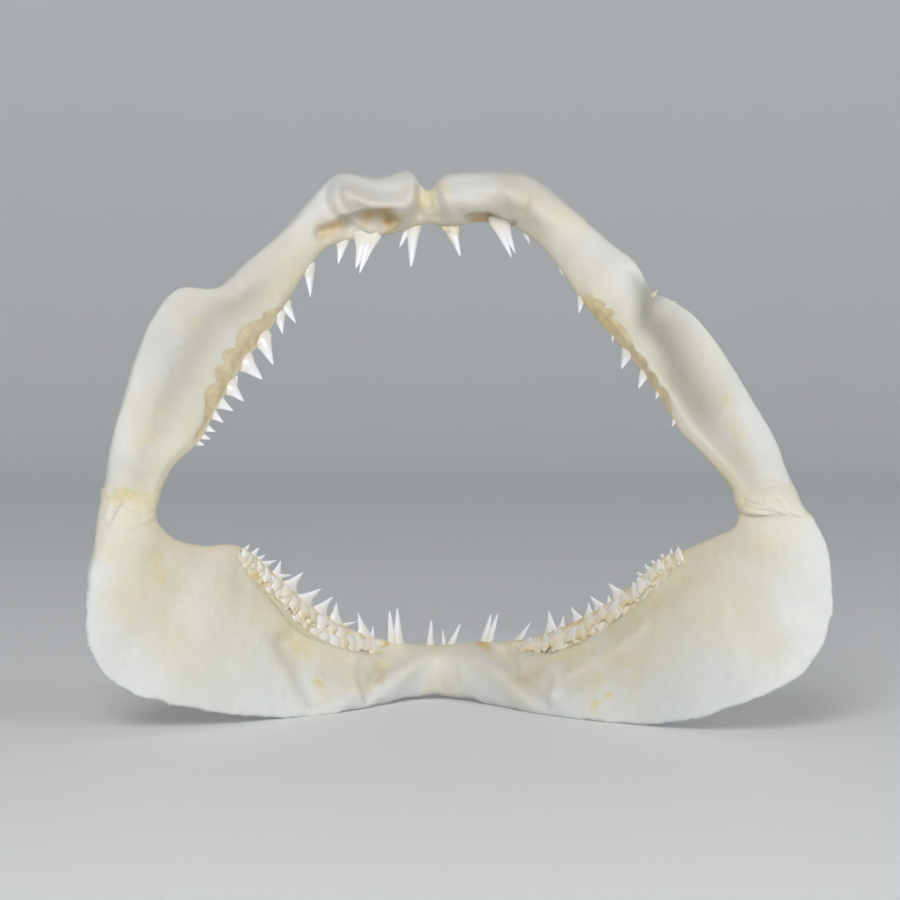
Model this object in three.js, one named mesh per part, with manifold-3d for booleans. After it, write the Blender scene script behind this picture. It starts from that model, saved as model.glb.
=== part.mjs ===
// Dried jaw of a young shortfin mako, standing open on the edges of its lower jaw.
// Millimetres, +Z up. The mouth's inside faces -Y, the snout end faces +Y.
import * as THREE from 'three';
import { mergeVertices } from 'three/addons/utils/BufferGeometryUtils.js';
import Module from 'manifold-3d';

// Driving dimensions
const JOINT_HEIGHT = 85;        // jaw joints above the table
const JOINT_DEPTH = 12;         // jaw joints along Y
const LOWER_REACH = 114;        // rim of the chin along Y
const LOWER_HALF_WIDTH = { left: 108, right: 117.7 };
const LOWER_BEND = { left: 1.3, right: 1.2 };
const UPPER_LEAN = 35;          // degrees the upper jaw leans towards the snout
const UPPER_MIDLINE = -2.4;     // X of the join between the upper halves
const LOWER_MIDLINE = 0.6;      // X of the join between the lower halves
const CHIN_ROUND = 12;          // radius that rounds the chin, seen from above
const GAP = 0.3;                // space between neighbouring pieces
const ORIGIN = { x: 9.6, y: 57.1 };
const AROUND = 18;              // points round one section
const STEPS = { upper: 3, lower: 4 };
const IVORY = { upper: 0xe9e2cb, lower: 0xece7d8 };
const SEED = 41;

// Sections of each half from joint to midline: inner edge x, z and outer edge x, z
const ROWS = {
  upper_left: [
    [-107.9, 85.0, -127.4, 84.8], [-106.1, 91.3, -126.5, 95.1], [-101.4, 101.8, -125.6, 107.6],
    [-92.4, 111.0, -122.0, 123.0], [-85.6, 124.9, -116.7, 142.3], [-77.9, 138.8, -110.9, 158.7],
    [-69.8, 150.6, -101.3, 170.9], [-62.3, 162.8, -86.8, 171.8], [-54.7, 176.0, -76.1, 182.2],
    [-46.9, 187.3, -61.1, 197.0], [-39.2, 191.1, -47.3, 213.5], [-28.6, 193.2, -38.3, 219.7],
    [-18.7, 194.9, -23.5, 217.8], [-10.1, 197.5, -11.3, 220.6], [-2.3, 201.3, -2.7, 213.0],
  ],
  upper_right: [
    [117.3, 85.7, 139.1, 86.7], [114.7, 93.6, 136.8, 96.9], [105.8, 104.9, 132.1, 112.1],
    [96.2, 115.2, 125.2, 125.2], [89.8, 126.8, 117.4, 139.9], [82.8, 137.5, 105.2, 157.9],
    [73.0, 150.2, 94.6, 166.7], [64.9, 159.9, 87.3, 170.6], [57.6, 169.8, 81.3, 181.6],
    [50.6, 181.0, 69.0, 192.6], [43.4, 189.8, 53.5, 207.3], [32.4, 197.9, 38.1, 219.1],
    [19.2, 200.0, 22.5, 220.3], [4.8, 198.3, 2.7, 219.2], [-2.3, 201.3, -1.8, 213.0],
  ],
  lower_left: [
    [-108.0, 84.2, -128.1, 82.2], [-105.9, 78.6, -132.0, 57.6], [-100.5, 73.2, -130.9, 35.1],
    [-91.4, 70.1, -122.2, 19.9], [-79.1, 68.7, -102.2, 11.0], [-67.3, 57.3, -81.3, 4.9],
    [-55.2, 44.0, -61.4, 0.5], [-41.5, 33.2, -44.2, -0.3], [-27.4, 25.7, -30.7, -0.1],
    [-13.0, 22.9, -15.8, 1.1], [0.5, 21.8, 0.5, 2.0],
  ],
  lower_right: [
    [117.6, 85.0, 140.3, 86.7], [117.3, 83.0, 147.7, 80.3], [115.9, 78.7, 150.9, 64.6],
    [109.3, 74.4, 150.6, 44.4], [100.8, 69.5, 140.6, 25.2], [90.6, 64.0, 120.5, 14.1],
    [79.5, 52.4, 99.6, 5.1], [66.7, 40.8, 80.2, 0.3], [52.3, 31.7, 61.3, -0.3], [36.7, 25.3, 44.1, -0.7],
    [18.6, 23.8, 22.6, 0.5], [0.9, 21.8, 0.5, 2.0],
  ],
};

// How far the outer edge stands nearer the throat than the inner edge, along a half from 0 to 1
const UPPER_SLANT = {
  left: [[0, 4], [0.15, 8], [0.3, 16], [0.45, 20], [0.52, 18], [0.62, 7], [0.75, 2], [0.85, 5], [1, 4]],
  right: [
    [0, 4], [0.15, 5], [0.3, 5], [0.42, 5], [0.5, 4], [0.56, 6], [0.62, 6], [0.75, 2], [0.85, 5], [1, 4],
  ],
};
const LOWER_TILT = {
  left: [[0, 0.5], [0.1, 0.6], [0.5, 0.66], [0.6, 0.68], [0.7, 0.88], [0.8, 1], [0.9, 0.6], [1, 0]],
  right: [[0, 0.5], [0.1, 0.6], [0.55, 0.9], [0.64, 0.92], [0.73, 1.18], [0.82, 1.33], [0.91, 0.8], [1, 0]],
};

// Drop of the outer edge into the V between the upper halves
const NOTCH = { left: [[0.93, 0], [0.97, 2.4], [1, 0.8]], right: [[0.925, 0], [0.965, 2.4], [1, 0.8]] };

// Cheek trough of the upper halves: its depth, its width to each side and its middle across the half
const TROUGH_DEPTH = { left: 2, right: 5.5 };
const TROUGH_WIDTH = { left: [0.2, 0.2], right: [0.15, 0.36] };
const TROUGH = { left: [[0, 0.5], [1, 0.5]], right: [[0.15, 0.3], [0.3, 0.32], [0.42, 0.48], [0.52, 0.85]] };

// Half thickness of the cartilage at the tooth edge, the middle and the outer edge
const THICK = {
  upper: {
    rim: [[0, 7], [0.2, 5], [0.5, 5], [0.7, 5.5], [1, 6]],
    mid: [[0, 8], [0.2, 6], [0.5, 3.5], [0.65, 6], [0.8, 9], [1, 8]],
    edge: [[0, 6], [0.2, 4], [0.45, 2.6], [0.6, 4], [0.8, 8], [1, 7]],
  },
  lower: {
    rim: [[0, 7], [0.2, 5], [0.5, 6], [0.8, 6], [1, 6]],
    mid: [[0, 8], [0.2, 5], [0.5, 4.5], [0.8, 6], [1, 6]],
    edge: [[0, 6], [0.15, 3], [0.5, 3], [0.8, 3.5], [1, 4.5]],
  },
};

// Teeth along each rim: place from joint to midline, crown length, lean in degrees
const TEETH = {
  upper_left: [
    [0.21, 2.4, -3], [0.225, 2.8, -3], [0.241, 3.2, -4], [0.266, 4.4, 10], [0.289, 5.6, 1], [0.32, 7.6, 13],
    [0.337, 3, 46], [0.372, 9.2, 11], [0.428, 10.5, 33], [0.486, 7.2, 56], [0.509, 7.9, 40],
    [0.593, 11.7, 68], [0.719, 9, 30], [0.78, 13, 35], [0.799, 15.8, 36], [0.912, 7.7, 28],
    [0.934, 16.4, 6],
  ],
  upper_right: [
    [0.232, 1.6, -42], [0.299, 1.6, -37], [0.35, 5.3, -24], [0.397, 6, -26], [0.436, 1.6, -35],
    [0.551, 5.4, -54], [0.627, 1.6, -76], [0.751, 3.8, -37], [0.81, 13.1, -35], [0.823, 15.5, -34],
    [0.92, 13, -13],
  ],
  lower_left: [
    [0.42, 2.2, 14], [0.442, 3.6, 21], [0.459, 3.1, 37], [0.477, 5, 53], [0.511, 5.7, 7], [0.52, 5.2, 67],
    [0.551, 8.1, 34], [0.598, 8.4, 49], [0.642, 8.2, 39], [0.686, 7.2, 3], [0.716, 5.4, 67],
    [0.769, 9.4, -20], [0.795, 4.6, -2], [0.855, 13.5, -12], [0.874, 14.8, -9], [0.974, 10.9, 1],
  ],
  lower_right: [
    [0.403, 1.6, 46], [0.423, 1.6, 26], [0.448, 1.6, 1], [0.474, 1.6, -20], [0.493, 2.1, -6],
    [0.514, 2, -23], [0.575, 5.9, -24], [0.6, 2.2, 12], [0.624, 6.2, -23], [0.652, 4.5, 13],
    [0.68, 6.2, -15], [0.72, 4.6, 23], [0.744, 8.5, 6], [0.824, 9.9, 49], [0.887, 12.9, 29],
    [0.896, 12.4, 24], [0.968, 9.7, 27], [0.984, 6.5, -2],
  ],
};
const TOOTH_BREADTH = [[0.3, 0.85], [0.6, 0.8], [0.75, 0.6], [0.85, 0.3], [1, 0.27]];
// Share of a crown's width at a share of its length: flared teeth at the sides, slender ones in front
const CROWN = {
  flared: [[0, 1.2], [0.25, 0.75], [0.7, 0.33]],
  slender: [[0, 1.1], [0.4, 0.8], [0.75, 0.48]],
};
const FRONT = 0.84;             // place where the slender teeth begin
// How far the teeth stand from the rim's edge towards the throat
const TOOTH_SHIFT = {
  upper: [[0.2, 1.5], [1, 1.5]],
  lower: [[0.4, 1.6], [0.6, 2.4], [0.78, 2.4], [0.88, 1.2]],
};
const ROOT_DEPTH = 5;           // tooth root sunk in the cartilage
const PAPILLA = { place: 0.922, length: 8, width: 8, lean: -13 };
const SPARE_TEETH = 12;         // replacement teeth lying inside each lower rim
const SPARE_SPAN = [0.44, 0.84];

const wasm = await Module();
wasm.setup();
const { Manifold, Mesh } = wasm;

// Repeatable random numbers from 0 to 1
let seed = SEED;
function random() {
  seed = (seed * 16807) % 2147483647;
  return seed / 2147483647;
}

// Value at s of a list of [place, value] pairs, eased between neighbours
function keyed(pairs, s) {
  if (s <= pairs[0][0]) return pairs[0][1];
  for (let i = 1; i < pairs.length; i += 1) {
    const [b, vb] = pairs[i];
    if (s <= b) {
      const [a, va] = pairs[i - 1];
      const t = (s - a) / (b - a);
      return va + (vb - va) * t * t * (3 - 2 * t);
    }
  }
  return pairs[pairs.length - 1][1];
}

const bump = (q, centre, width) => Math.exp(-(((q - centre) / width) ** 2));

// Distance from the midline with its corner rounded off
const rounded = (x) => Math.hypot(x, CHIN_ROUND) - CHIN_ROUND;

// Depth of the inner edge: the lower rim bows out to the chin, the upper one leans to the snout
function rimDepth(kind, side, x, z) {
  if (kind === 'upper') {
    return JOINT_DEPTH + (z - JOINT_HEIGHT) * Math.tan(THREE.MathUtils.degToRad(UPPER_LEAN));
  }
  const across = Math.min(rounded(x) / rounded(LOWER_HALF_WIDTH[side]), 1);
  return JOINT_DEPTH + (LOWER_REACH - JOINT_DEPTH) * (1 - across ** LOWER_BEND[side]);
}

// Inner and outer edge points of every section of a half, and the notch of its outer edge
function edgesOf(kind, side) {
  const rows = ROWS[`${kind}_${side}`];
  const last = rows.length - 1;
  const inner = [];
  const outer = [];
  rows.forEach(([xi, zi, xo, zo], i) => {
    const s = i / last;
    const yi = rimDepth(kind, side, xi, zi);
    const fall = kind === 'upper'
      ? keyed(UPPER_SLANT[side], s)
      : 4 * (1 - s) + keyed(LOWER_TILT[side], s) * (zi - zo);
    inner.push(new THREE.Vector3(xi, yi, zi));
    outer.push(new THREE.Vector3(xo, yi - fall, zo));
  });
  const notch = (u) => (kind === 'upper' ? keyed(NOTCH[side], u / last) : 0);
  return { inner, outer, notch, last };
}

// Smooth curve through the sections; places before the first and after the last run on straight
function along(points, u) {
  const n = points.length;
  const i = Math.min(Math.max(Math.floor(u), 0), n - 2);
  const t = u - i;
  const at = (j) => {
    if (j < 0) return points[0].clone().multiplyScalar(2).sub(points[1]);
    if (j > n - 1) return points[n - 1].clone().multiplyScalar(2).sub(points[n - 2]);
    return points[j];
  };
  if (u < 0) return points[0].clone().lerp(at(-1), -u);
  if (u > n - 1) return points[n - 1].clone().lerp(at(n), u - n + 1);
  const [a, b, c, d] = [at(i - 1), at(i), at(i + 1), at(i + 2)];
  const blend = (k) => 0.5 * (2 * b[k] + (c[k] - a[k]) * t
    + (2 * a[k] - 5 * b[k] + 4 * c[k] - d[k]) * t * t
    + (3 * b[k] - a[k] - 3 * c[k] + d[k]) * t ** 3);
  return new THREE.Vector3(blend('x'), blend('y'), blend('z'));
}

// Hollows and swellings of the inside face, at place s along the half and q across it
function relief(kind, side, s, q) {
  if (kind === 'upper') {
    const deep = TROUGH_DEPTH[side];
    const centre = keyed(TROUGH[side], s);
    const trough = keyed([[0, 0], [0.12, 2], [0.3, deep], [0.51, deep], [0.58, 0], [1, 0]], s);
    const bulla = keyed([[0, 0], [0.66, 0], [0.74, 1], [0.9, 1], [1, 0.1]], s);
    const hollow = keyed([[0, 0], [0.7, 0], [0.77, 1], [0.87, 1], [0.92, 0.1], [1, 0]], s);
    const width = TROUGH_WIDTH[side][q < centre ? 0 : 1];
    return trough * (0.3 * bump(q, 0.16, 0.1) - bump(q, centre, width))
      + bulla * 4.5 * bump(q, 0.62, 0.34) - hollow * 5 * bump(q, 0.2, 0.12);
  }
  const chin = keyed([[0, 0], [0.62, 0], [0.76, 1], [1, 1]], s);
  const above = keyed([[0, 1], [0.8, 1], [0.92, 0]], s);
  const below = keyed([[0.82, 0], [0.92, 1]], s);
  const crest = keyed([[0, 0.95], [0.7, 0.95], [0.8, 0.85], [0.9, 0.5], [1, 0.22]], s);
  const groove = keyed([[0, 0], [0.35, 0], [0.45, 1], [0.8, 1], [0.9, 0]], s);
  return chin * (3.2 * bump(q, crest, 0.24) - 2 * above * bump(q, crest - 0.5, 0.2))
    - 3 * below * bump(q, crest + 0.5, 0.28) - groove * 2.2 * bump(q, 0.16, 0.1);
}

// Frame of a section: edge points, direction outwards and direction to the throat
function section(edges, u) {
  const inner = along(edges.inner, u);
  const outer = along(edges.outer, u);
  outer.z -= edges.notch(u);
  const middle = (v) => along(edges.inner, v).add(along(edges.outer, v));
  const forward = middle(u + 0.3).sub(middle(u - 0.3)).normalize();
  const across = outer.clone().sub(inner);
  const throat = across.clone().cross(forward).normalize();
  if (throat.y > 0) throat.negate();
  return { inner, across, forward, throat };
}

// Solid body from a closed geometry
function solid(geometry) {
  geometry.deleteAttribute('normal');
  geometry.deleteAttribute('uv');
  const merged = mergeVertices(geometry);
  return new Manifold(new Mesh({
    numProp: 3,
    vertProperties: new Float32Array(merged.attributes.position.array),
    triVerts: new Uint32Array(merged.index.array),
  }));
}

// Closed body from rings of points with a point at each end
function bodyFromRings(rings, first, last) {
  const around = rings[0].length;
  const points = [...rings.flat(), first, last];
  const faces = [];
  for (let i = 0; i < rings.length - 1; i += 1) {
    for (let j = 0; j < around; j += 1) {
      const a = i * around + j;
      const b = i * around + ((j + 1) % around);
      faces.push(a, b, b + around, a, b + around, a + around);
    }
  }
  const end = (rings.length - 1) * around;
  for (let j = 0; j < around; j += 1) {
    const k = (j + 1) % around;
    faces.push(points.length - 2, k, j, points.length - 1, end + j, end + k);
  }
  let volume = 0;
  for (let f = 0; f < faces.length; f += 3) {
    volume += points[faces[f]].dot(points[faces[f + 1]].clone().cross(points[faces[f + 2]]));
  }
  if (volume < 0) {
    for (let f = 0; f < faces.length; f += 3) {
      [faces[f + 1], faces[f + 2]] = [faces[f + 2], faces[f + 1]];
    }
  }
  const geometry = new THREE.BufferGeometry();
  const places = points.flatMap((p) => [p.x, p.y, p.z]);
  geometry.setAttribute('position', new THREE.Float32BufferAttribute(places, 3));
  geometry.setIndex(faces);
  return solid(geometry);
}

// Cartilage of one half as rings swept from past the joint to past the midline
function cartilage(kind, side) {
  const edges = edgesOf(kind, side);
  const { last } = edges;
  const thick = THICK[kind];
  const rings = [];
  const places = [-0.8];
  for (let i = 0; i <= last * STEPS[kind]; i += 1) places.push(i / STEPS[kind]);
  places.push(last + 0.5);
  for (const u of places) {
    const s = Math.min(Math.max(u / last, 0), 1);
    const { inner, across, throat } = section(edges, u);
    const ring = [];
    for (let j = 0; j < AROUND; j += 1) {
      const angle = (2 * Math.PI * j) / AROUND;
      const q = (1 - Math.cos(angle)) / 2;
      const half = keyed(thick.rim, s) * (1 - q) ** 2
        + 2 * keyed(thick.mid, s) * q * (1 - q)
        + keyed(thick.edge, s) * q * q;
      const round = Math.sign(Math.sin(angle)) * Math.abs(Math.sin(angle)) ** 0.6;
      const facing = Math.max(Math.sin(angle), 0) ** 0.5;
      const out = half * round + relief(kind, side, s, q) * facing;
      ring.push(inner.clone().addScaledVector(across, q).addScaledVector(throat, out));
    }
    rings.push(ring);
  }
  const centre = (ring) => ring.reduce((sum, p) => sum.add(p), new THREE.Vector3()).divideScalar(ring.length);
  return bodyFromRings(rings, centre(rings[0]), centre(rings[rings.length - 1]));
}

// Pointed tooth: broad root below the base point, slender crown curving slightly to the throat
function tooth(base, direction, widthways, length, width, thickness, curve, crown = CROWN.flared) {
  const thickways = direction.clone().cross(widthways).normalize();
  const stages = [[-ROOT_DEPTH / length, crown[0][1]], ...crown];
  const at = (t) => base.clone()
    .addScaledVector(direction, t * length)
    .addScaledVector(new THREE.Vector3(0, -1, 0), curve * t * Math.max(t, 0));
  const rings = stages.map(([t, size]) => {
    const ring = [];
    for (let j = 0; j < 6; j += 1) {
      const angle = (Math.PI * (j + 0.5)) / 3;
      ring.push(at(t)
        .addScaledVector(widthways, 0.5 * width * size * Math.cos(angle))
        .addScaledVector(thickways, 0.5 * thickness * size * Math.sin(angle)));
    }
    return ring;
  });
  return bodyFromRings(rings, at(-ROOT_DEPTH / length), at(1));
}

// Functional teeth on the rim, pointing into the gape
function rimTeeth(kind, side) {
  const edges = edgesOf(kind, side);
  return TEETH[`${kind}_${side}`].map(([s, crown, lean]) => {
    const { inner, across, forward, throat } = section(edges, s * edges.last);
    const direction = across.clone().setY(0).normalize().negate();
    direction.applyAxisAngle(new THREE.Vector3(0, 1, 0), THREE.MathUtils.degToRad(lean));
    direction.y = -0.1 - 0.1 * random();
    direction.normalize();
    const base = inner.clone().addScaledVector(direction, -0.5);
    base.addScaledVector(throat, keyed(TOOTH_SHIFT[kind], s));
    const widthways = forward.clone().addScaledVector(direction, -forward.dot(direction)).normalize();
    const width = 1 + crown * keyed(TOOTH_BREADTH, s) * (0.9 + 0.2 * random());
    const thickness = Math.max((s > FRONT ? 0.7 : 0.45) * width, 1.6);
    const shape = s > FRONT ? CROWN.slender : CROWN.flared;
    return tooth(base, direction, widthways, crown + 1.4, width, thickness, 0.06 * crown, shape);
  });
}

// Cone of dried gum round the root of the first tooth right of the midline
function papilla() {
  const edges = edgesOf('upper', 'right');
  const { inner, across, forward, throat } = section(edges, PAPILLA.place * edges.last);
  const direction = across.clone().setY(0).normalize().negate();
  direction.applyAxisAngle(new THREE.Vector3(0, 1, 0), THREE.MathUtils.degToRad(PAPILLA.lean));
  const base = inner.clone().addScaledVector(throat, -1);
  const widthways = forward.clone().addScaledVector(direction, -forward.dot(direction)).normalize();
  return tooth(base, direction, widthways, PAPILLA.length, PAPILLA.width, 0.7 * PAPILLA.width, 0);
}

// Replacement teeth lying against the inside of the lower rim
function spareTeeth(side) {
  const edges = edgesOf('lower', side);
  const bodies = [];
  for (let k = 0; k < SPARE_TEETH; k += 1) {
    const part = (k + 0.5) / SPARE_TEETH;
    const s = SPARE_SPAN[0] + (SPARE_SPAN[1] - SPARE_SPAN[0]) * part;
    const { inner, across, forward, throat } = section(edges, s * edges.last);
    const outwards = across.clone().normalize();
    const length = 4.5 + 5 * part + random();
    const base = inner.clone().addScaledVector(outwards, length + 1.5).addScaledVector(throat, 3.6);
    const direction = outwards.negate().addScaledVector(throat, 0.18).normalize();
    const widthways = forward.clone().addScaledVector(direction, -forward.dot(direction)).normalize();
    const width = 2.4 + 0.42 * length;
    bodies.push(tooth(base, direction, widthways, length, width, 0.6 * width, 0.4));
  }
  return bodies;
}

// Box from corner to corner, for trimming
function block(x0, y0, z0, x1, y1, z1) {
  const box = new THREE.BoxGeometry(x1 - x0, y1 - y0, z1 - z0);
  return solid(box.translate((x0 + x1) / 2, (y0 + y1) / 2, (z0 + z1) / 2));
}

// One half with its teeth, trimmed at the table, the joint and the midline
function jawHalf(kind, side) {
  let body = cartilage(kind, side);
  const teeth = rimTeeth(kind, side);
  if (kind === 'lower') teeth.push(...spareTeeth(side));
  if (kind === 'upper' && side === 'right') teeth.push(papilla());
  for (const one of teeth) body = body.add(one);
  const far = 400;
  const joint = JOINT_HEIGHT + (side === 'right' ? 1 : 0);
  const middle = kind === 'upper' ? UPPER_MIDLINE : LOWER_MIDLINE;
  if (kind === 'upper') {
    body = body.subtract(block(-far, -far, -far, far, far, joint + GAP / 2));
  } else {
    body = body.subtract(block(-far, -far, joint - GAP / 2, far, far, far));
    body = body.subtract(block(-far, -far, -far, far, far, 0));
  }
  body = side === 'left'
    ? body.subtract(block(middle - GAP / 2, -far, -far, far, far, far))
    : body.subtract(block(-far, -far, -far, middle + GAP / 2, far, far));
  const pieces = body.decompose();
  pieces.sort((a, b) => b.volume() - a.volume());
  return pieces[0];
}

// Surface of a trimmed half as a named mesh
function toMesh(body, name, colour) {
  const source = body.getMesh();
  const geometry = new THREE.BufferGeometry();
  geometry.setAttribute('position', new THREE.BufferAttribute(new Float32Array(source.vertProperties), 3));
  geometry.setIndex([...source.triVerts]);
  geometry.computeVertexNormals();
  const material = new THREE.MeshStandardMaterial({ color: colour, roughness: 0.5, metalness: 0 });
  const mesh = new THREE.Mesh(geometry, material);
  mesh.name = name;
  return mesh;
}

// The whole jaw, moved so that its origin is the bottom centre
const jaw = new THREE.Group();
jaw.position.set(-ORIGIN.x, -ORIGIN.y, 0);
for (const kind of ['upper', 'lower']) {
  for (const side of ['left', 'right']) {
    jaw.add(toMesh(jawHalf(kind, side), `${kind}_jaw_${side}`, IVORY[kind]));
  }
}

export default jaw;
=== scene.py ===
# %% [markdown]
# A dried shark jaw, open on a table
# The jaw of a young shortfin mako is four bars of cartilage: two upper halves and two lower halves.
# They meet at the midline and at the joints, and each carries a row of pointed teeth.
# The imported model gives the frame: its four solids fix the size and the place of every piece here.

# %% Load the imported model
from itertools import product

import bpy
import numpy as np
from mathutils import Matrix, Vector


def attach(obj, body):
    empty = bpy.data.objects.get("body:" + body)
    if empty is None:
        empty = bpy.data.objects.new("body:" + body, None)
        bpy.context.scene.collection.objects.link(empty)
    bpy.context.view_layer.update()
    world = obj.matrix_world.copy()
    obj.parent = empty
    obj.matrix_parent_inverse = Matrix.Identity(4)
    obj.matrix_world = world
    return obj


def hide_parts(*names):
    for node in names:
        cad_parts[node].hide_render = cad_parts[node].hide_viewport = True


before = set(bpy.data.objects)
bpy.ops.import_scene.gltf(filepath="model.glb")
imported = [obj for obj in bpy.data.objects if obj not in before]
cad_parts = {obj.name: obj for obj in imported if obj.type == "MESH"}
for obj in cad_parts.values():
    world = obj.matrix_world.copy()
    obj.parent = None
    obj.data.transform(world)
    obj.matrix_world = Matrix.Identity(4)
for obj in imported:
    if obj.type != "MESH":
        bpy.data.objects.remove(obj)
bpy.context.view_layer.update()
print("nodes:", sorted(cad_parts))

# %% [markdown]
# The sizes of the jaw
# A jaw half is told by about a dozen sections from the joint to the midline.
# Each section has an inner edge, where the teeth stand, and an outer edge.
# The same sections drive the solids, so the fine surfaces made here follow them, apart from folds and relief.

# %% Driving dimensions in millimetres
JOINT_HEIGHT = {"left": 85.0, "right": 86.0}
JOINT_DEPTH = 12.0
LOWER_REACH = 114.0
LOWER_HALF_WIDTH = {"left": 108.0, "right": 117.7}
LOWER_BEND = {"left": 1.3, "right": 1.2}
UPPER_LEAN = np.radians(35.0)
MIDLINE = {"upper": -2.4, "lower": 0.6}
CHIN_ROUND = 12.0
GAP = 0.3
NOTCH = {"left": [(0.93, 0), (0.97, 2.4), (1, 0.8)], "right": [(0.925, 0), (0.965, 2.4), (1, 0.8)]}
ORIGIN = np.array([9.6, 57.1, 0.0])
HALVES = [("upper", "left"), ("upper", "right"), ("lower", "left"), ("lower", "right")]
UPPER_LEFT, UPPER_RIGHT, LOWER_LEFT, LOWER_RIGHT = HALVES

# %% Sections of each half: inner edge x, z and outer edge x, z
ROWS = {
    UPPER_LEFT: [
        (-107.9, 85.0, -127.4, 84.8), (-106.1, 91.3, -126.5, 95.1), (-101.4, 101.8, -125.6, 107.6),
        (-92.4, 111.0, -122.0, 123.0), (-85.6, 124.9, -116.7, 142.3), (-77.9, 138.8, -110.9, 158.7),
        (-69.8, 150.6, -101.3, 170.9), (-62.3, 162.8, -86.8, 171.8), (-54.7, 176.0, -76.1, 182.2),
        (-46.9, 187.3, -61.1, 197.0), (-39.2, 191.1, -47.3, 213.5), (-28.6, 193.2, -38.3, 219.7),
        (-18.7, 194.9, -23.5, 217.8), (-10.1, 197.5, -11.3, 220.6), (-2.3, 201.3, -2.7, 213.0),
    ],
    UPPER_RIGHT: [
        (117.3, 85.7, 139.1, 86.7), (114.7, 93.6, 136.8, 96.9), (105.8, 104.9, 132.1, 112.1),
        (96.2, 115.2, 125.2, 125.2), (89.8, 126.8, 117.4, 139.9), (82.8, 137.5, 105.2, 157.9),
        (73.0, 150.2, 94.6, 166.7), (64.9, 159.9, 87.3, 170.6), (57.6, 169.8, 81.3, 181.6),
        (50.6, 181.0, 69.0, 192.6), (43.4, 189.8, 53.5, 207.3), (32.4, 197.9, 38.1, 219.1),
        (19.2, 200.0, 22.5, 220.3), (4.8, 198.3, 2.7, 219.2), (-2.3, 201.3, -1.8, 213.0),
    ],
    LOWER_LEFT: [
        (-108.0, 84.2, -128.1, 82.2), (-105.9, 78.6, -132.0, 57.6), (-100.5, 73.2, -130.9, 35.1),
        (-91.4, 70.1, -122.2, 19.9), (-79.1, 68.7, -102.2, 11.0), (-67.3, 57.3, -81.3, 4.9),
        (-55.2, 44.0, -61.4, 0.5), (-41.5, 33.2, -44.2, -0.3), (-27.4, 25.7, -30.7, -0.1),
        (-13.0, 22.9, -15.8, 1.1), (0.5, 21.8, 0.5, 2.0),
    ],
    LOWER_RIGHT: [
        (117.6, 85.0, 140.3, 86.7), (117.3, 83.0, 147.7, 80.3), (115.9, 78.7, 150.9, 64.6),
        (109.3, 74.4, 150.6, 44.4), (100.8, 69.5, 140.6, 25.2), (90.6, 64.0, 120.5, 14.1),
        (79.5, 52.4, 99.6, 5.1), (66.7, 40.8, 80.2, 0.3), (52.3, 31.7, 61.3, -0.3), (36.7, 25.3, 44.1, -0.7),
        (18.6, 23.8, 22.6, 0.5), (0.9, 21.8, 0.5, 2.0),
    ],
}
LAST = {half: len(rows) - 1 for half, rows in ROWS.items()}

# %% Slant and thickness along a half, as (place, value) pairs from joint 0 to midline 1
UPPER_SLANT = {
    "left": [(0, 4), (0.15, 8), (0.3, 16), (0.45, 20), (0.52, 18), (0.62, 7), (0.75, 2), (0.85, 5), (1, 4)],
    "right": [
        (0, 4), (0.15, 5), (0.3, 5), (0.42, 5), (0.5, 4), (0.56, 6), (0.62, 6), (0.75, 2), (0.85, 5), (1, 4),
    ],
}
LOWER_TILT = {
    "left": [(0, 0.5), (0.1, 0.6), (0.5, 0.66), (0.6, 0.68), (0.7, 0.88), (0.8, 1), (0.9, 0.6), (1, 0)],
    "right": [
        (0, 0.5), (0.1, 0.6), (0.55, 0.9), (0.64, 0.92), (0.73, 1.18), (0.82, 1.33), (0.91, 0.8), (1, 0),
    ],
}
THICK = {
    "upper": {
        "rim": [(0, 7), (0.2, 5), (0.5, 5), (0.7, 5.5), (1, 6)],
        "mid": [(0, 8), (0.2, 6), (0.5, 3.5), (0.65, 6), (0.8, 9), (1, 8)],
        "edge": [(0, 6), (0.2, 4), (0.45, 2.6), (0.6, 4), (0.8, 8), (1, 7)],
    },
    "lower": {
        "rim": [(0, 7), (0.2, 5), (0.5, 6), (0.8, 6), (1, 6)],
        "mid": [(0, 8), (0.2, 5), (0.5, 4.5), (0.8, 6), (1, 6)],
        "edge": [(0, 6), (0.15, 3), (0.5, 3), (0.8, 3.5), (1, 4.5)],
    },
}
print("halves:", len(HALVES), "sections:", [len(ROWS[half]) for half in HALVES])

# %% [markdown]
# Curves through the sections
# A handful of sections becomes a smooth bar when a curve runs through them.
# Catmull-Rom needs no handles and passes through every point, which suits sizes read off an object.
# Eased pairs do the same for single values, such as a thickness that changes along the bar.

# %% Eased values and smooth curves
def eased(t):
    """Smooth step from 0 to 1: 3t squared minus 2t cubed."""
    return t * t * (3 - 2 * t)


def keyed(pairs, s):
    """Value at s of (place, value) pairs, eased between neighbours."""
    place, value = np.array(pairs, float).T
    s = np.clip(s, place[0], place[-1])
    i = np.clip(np.searchsorted(place, s, side="right") - 1, 0, len(place) - 2)
    t = (s - place[i]) / (place[i + 1] - place[i])
    return value[i] + (value[i + 1] - value[i]) * eased(t)


def spline(points, u):
    """Catmull-Rom curve: place u runs from 0 at the first point to n - 1 at the last, then on straight."""
    last = len(points) - 1
    padded = np.vstack([2 * points[0] - points[1], points, 2 * points[-1] - points[-2]])
    inside = np.clip(u, 0, last)
    i = np.clip(np.floor(inside).astype(int), 0, last - 1)
    t = (inside - i)[..., None]
    a, b, c, d = (padded[i + k] for k in range(4))
    curve = 2 * b + (c - a) * t + (2 * a - 5 * b + 4 * c - d) * t**2 + (3 * b - a - 3 * c + d) * t**3
    over = (u - inside)[..., None]
    slope = np.where(over < 0, points[1] - points[0], points[-1] - points[-2])
    return 0.5 * curve + over * slope


def bump(q, centre, width):
    """Bell curve of height 1 at the centre."""
    return np.exp(-(((q - centre) / width) ** 2))


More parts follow.
